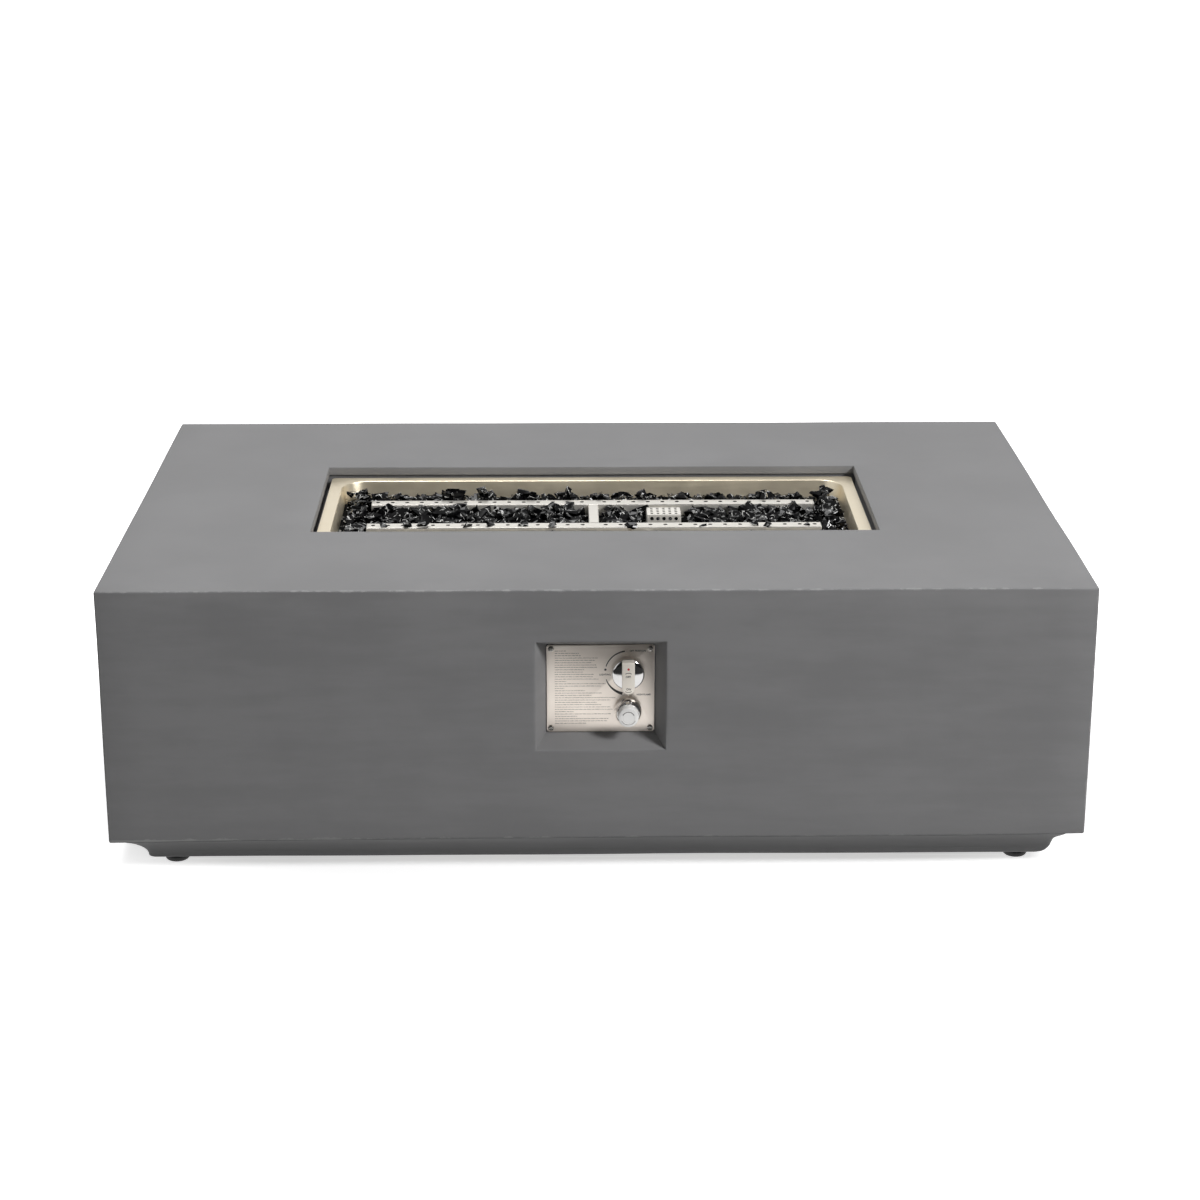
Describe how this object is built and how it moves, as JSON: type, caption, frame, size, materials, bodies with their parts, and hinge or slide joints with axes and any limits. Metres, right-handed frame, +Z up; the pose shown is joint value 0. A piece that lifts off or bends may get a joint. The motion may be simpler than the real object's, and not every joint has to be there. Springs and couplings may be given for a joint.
{
  "type": "gas fire pit table",
  "caption": "Low rectangular gas fire table: hollow cast box on a coved plinth with levelling feet, drop-in burner pan with crushed glass, recessed panel with valve knob and igniter.",
  "frame": {"origin": "on the floor under the middle of the table", "axes": "+X to the right, +Y to the back, +Z up; the control panel faces -Y"},
  "size_m": [1.067, 0.695, 0.33],
  "materials": {
    "cast_body": "matte",
    "cast_plinth": "matte",
    "pan_stainless": "satin",
    "burner_stainless": "satin",
    "plate_stainless": "satin",
    "zinc_steel": "satin",
    "bright_chrome": "polished",
    "brass": "satin",
    "tube_aluminium": "satin",
    "valve_casting": "matte",
    "black_plastic": "matte",
    "black_rubber": "matte",
    "white_ceramic": "gloss",
    "cell_jacket": "gloss",
    "black_glass": "gloss"
  },
  "bodies": {
    "table": {"body_shell": "cast_body", "plinth_ring": "cast_plinth", "foot_inserts": "brass", "base_cleats": "zinc_steel", "cleat_screws": "zinc_steel", "burner_pan": "pan_stainless", "burner_tube_front": "burner_stainless", "burner_tube_rear": "burner_stainless", "burner_cross_tube": "burner_stainless", "burner_end_caps": "burner_stainless", "burner_stands": "burner_stainless", "burner_inlet_nipple": "brass", "burner_lock_nut": "brass", "air_mixer": "brass", "jet_elbow": "brass", "gas_feed_tube": "tube_aluminium", "feed_tube_nuts": "brass", "pilot_guard": "burner_stainless", "pilot_guard_screws": "zinc_steel", "sensor_bracket": "burner_stainless", "thermocouple": "zinc_steel", "thermocouple_lead": "brass", "thermocouple_nut": "brass", "electrode_insulator": "white_ceramic", "electrode_rod": "zinc_steel", "ignition_wire": "black_rubber", "lead_grommets": "black_rubber", "control_plate": "plate_stainless", "plate_screws": "bright_chrome", "plate_inserts": "brass", "valve_body": "valve_casting", "valve_mounting_screws": "bright_chrome", "safety_magnet": "brass", "gas_inlet_fitting": "brass", "igniter_housing": "black_plastic", "igniter_lock_nut": "black_plastic", "igniter_battery": "cell_jacket", "fire_glass_bed": "black_glass", "fire_glass_pieces": "black_glass"},
    "valve_rotor": {"valve_rotor": "brass"},
    "control_knob": {"control_knob": "bright_chrome", "valve_stem": "zinc_steel", "stem_spring": "zinc_steel"},
    "igniter_cap": {"igniter_collar": "bright_chrome", "button_guide": "black_plastic"},
    "igniter_button": {"igniter_button": "bright_chrome", "contact_pin": "brass", "button_spring": "zinc_steel"},
    "foot_front_left": {"foot_front_left": "black_plastic"},
    "foot_front_right": {"foot_front_right": "black_plastic"},
    "foot_rear_left": {"foot_rear_left": "black_plastic"},
    "foot_rear_right": {"foot_rear_right": "black_plastic"}
  },
  "joints": [
    {"name": "knob_turn", "type": "hinge", "parent": "table", "child": "valve_rotor", "pos_m": [0.0327, -0.322, 0.227], "axis": [0, -1, 0], "range_deg": [0, 180]},
    {"name": "knob_push", "type": "slide", "parent": "valve_rotor", "child": "control_knob", "axis": [0, 1, 0], "range_m": [0, 0.003], "stiffness_N_per_m": 1500, "springref_m": -0.002, "deforming": ["stem_spring"]},
    {"name": "igniter_cap_off", "type": "slide", "parent": "table", "child": "igniter_cap", "axis": [0, -1, 0], "range_m": [0, 0.03]},
    {"name": "igniter_push", "type": "slide", "parent": "igniter_cap", "child": "igniter_button", "axis": [0, 1, 0], "range_m": [0, 0.004], "stiffness_N_per_m": 1000, "springref_m": -0.002, "deforming": ["button_spring"]},
    {"name": "foot_front_left_out", "type": "slide", "parent": "table", "child": "foot_front_left", "axis": [0, 0, -1], "range_m": [0, 0.008]},
    {"name": "foot_front_right_out", "type": "slide", "parent": "table", "child": "foot_front_right", "axis": [0, 0, -1], "range_m": [0, 0.008]},
    {"name": "foot_rear_left_out", "type": "slide", "parent": "table", "child": "foot_rear_left", "axis": [0, 0, -1], "range_m": [0, 0.008]},
    {"name": "foot_rear_right_out", "type": "slide", "parent": "table", "child": "foot_rear_right", "axis": [0, 0, -1], "range_m": [0, 0.008]}
  ]
}
